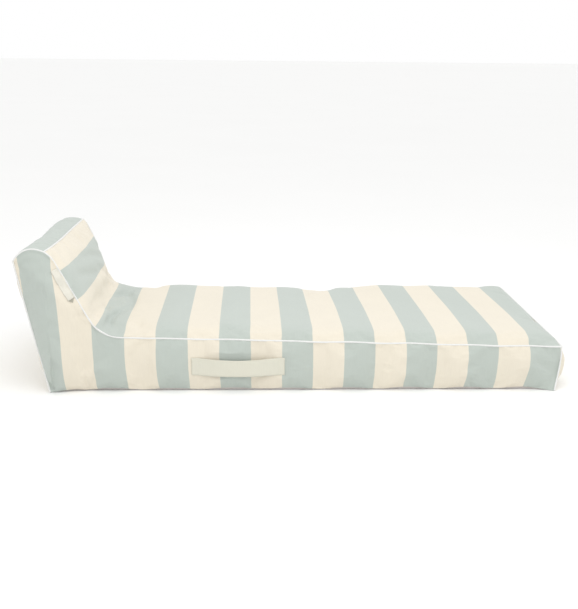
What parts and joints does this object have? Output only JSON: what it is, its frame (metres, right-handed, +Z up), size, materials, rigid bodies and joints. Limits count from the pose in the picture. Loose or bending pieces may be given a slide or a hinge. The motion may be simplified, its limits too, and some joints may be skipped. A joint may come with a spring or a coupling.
{
  "type": "inflatable pool float",
  "caption": "Flat inflatable pool lounger with a raised wedge headrest, in a piped striped canvas cover with side carry handles and a zipped back.",
  "frame": {"origin": "on the ground under the middle of the lounger", "axes": "+X from the headrest to the foot, +Z up, -Y the side that carries the label"},
  "size_m": [1.9913, 0.8218, 0.5203],
  "materials": {
    "canvas": "striped woven canvas with a coated back",
    "base_cloth": "plain coated cloth",
    "piping": "bias-bound cord",
    "strap": "folded canvas",
    "label": "folded woven tape, blank",
    "zip_tape": "woven tape",
    "zip_coil": "nylon coil",
    "zip_metal": "satin plated",
    "film": "welded flexible film",
    "valve": "moulded",
    "valve_seal": "soft seal"
  },
  "bodies": {
    "cover": {"top_panel": "canvas", "head_top_panel": "canvas", "side_panel_right": "canvas", "side_panel_left": "canvas", "back_panel_upper": "canvas", "back_panel_lower": "canvas", "foot_panel": "canvas", "base_panel": "base_cloth", "piping_side_right": "piping", "piping_side_left": "piping", "piping_head_front": "piping", "piping_head_back": "piping", "piping_foot": "piping", "zip_tape_upper": "zip_tape", "zip_tape_lower": "zip_tape", "zip_coil_upper": "zip_coil", "zip_coil_lower": "zip_coil", "zip_stops": "zip_metal", "handle_ends_right": "strap", "handle_ends_left": "strap", "bed_bladder_top": "film", "bed_bladder_bottom": "film", "bed_bladder_side_right": "film", "bed_bladder_side_left": "film", "bed_bladder_foot": "film", "bed_bladder_back": "film", "bed_baffle_1": "film", "bed_baffle_2": "film", "bed_baffle_3": "film", "bed_baffle_4": "film", "bed_baffle_5": "film", "bed_baffle_6": "film", "bed_baffle_7": "film", "head_bladder_front": "film", "head_bladder_back": "film", "head_bladder_bottom": "film", "head_bladder_side_right": "film", "head_bladder_side_left": "film", "head_baffle_1": "film", "head_baffle_2": "film", "bed_valve_base": "valve", "bed_valve_insert": "valve", "head_valve_base": "valve", "head_valve_insert": "valve"},
    "zip_slider": {"zip_slider": "zip_metal"},
    "zip_pull": {"zip_pull": "zip_metal"},
    "handle_right": {"handle_strap_right": "strap"},
    "handle_left": {"handle_strap_left": "strap"},
    "label": {"label_tab": "label"},
    "bed_valve_tether": {"bed_valve_tether": "valve"},
    "bed_valve_cap": {"bed_valve_cap": "valve"},
    "bed_valve_flap": {"bed_valve_flap": "valve_seal"},
    "head_valve_tether": {"head_valve_tether": "valve"},
    "head_valve_cap": {"head_valve_cap": "valve"},
    "head_valve_flap": {"head_valve_flap": "valve_seal"}
  },
  "joints": [
    {"name": "zip_slide", "type": "slide", "parent": "cover", "child": "zip_slider", "axis": [0, 1, 0], "range_m": [0, 0.61]},
    {"name": "zip_pull_swing", "type": "hinge", "parent": "zip_slider", "child": "zip_pull", "pos_m": [-0.93698, -0.3025, 0.20588], "axis": [-0.2165, 0, 0.9763], "range_deg": [0, 172]},
    {"name": "handle_right_pull", "type": "slide", "parent": "cover", "child": "handle_right", "axis": [0, -1, 0], "range_m": [0, 0.025]},
    {"name": "handle_left_pull", "type": "slide", "parent": "cover", "child": "handle_left", "axis": [0, 1, 0], "range_m": [0, 0.025]},
    {"name": "label_lift", "type": "hinge", "parent": "cover", "child": "label", "pos_m": [-0.84715, -0.3841, 0.46333], "axis": [-0.4772, 0, 0.8788], "range_deg": [0, 100]},
    {"name": "bed_cap_lift", "type": "slide", "parent": "cover", "child": "bed_valve_tether", "axis": [-0.9763, 0, -0.2165], "range_m": [0, 0.004]},
    {"name": "bed_cap_turn", "type": "hinge", "parent": "bed_valve_tether", "child": "bed_valve_cap", "pos_m": [-0.88003, 0, 0.10174], "axis": [-0.9763, 0, -0.2165], "range_deg": [0, 360]},
    {"name": "bed_flap_open", "type": "slide", "parent": "cover", "child": "bed_valve_flap", "axis": [0.9763, 0, 0.2165], "range_m": [0, 0.003], "stiffness_N_per_m": 5},
    {"name": "head_cap_lift", "type": "slide", "parent": "cover", "child": "head_valve_tether", "axis": [-0.9763, 0, -0.2165], "range_m": [0, 0.004]},
    {"name": "head_cap_turn", "type": "hinge", "parent": "head_valve_tether", "child": "head_valve_cap", "pos_m": [-0.93134, 0, 0.33312], "axis": [-0.9763, 0, -0.2165], "range_deg": [0, 360]},
    {"name": "head_flap_open", "type": "slide", "parent": "cover", "child": "head_valve_flap", "axis": [0.9763, 0, 0.2165], "range_m": [0, 0.003], "stiffness_N_per_m": 5}
  ],
  "couplings": [
    {"joint": "bed_cap_lift", "follows": "bed_cap_turn", "m_per_rad": 0.00063662},
    {"joint": "head_cap_lift", "follows": "head_cap_turn", "m_per_rad": 0.00063662}
  ]
}
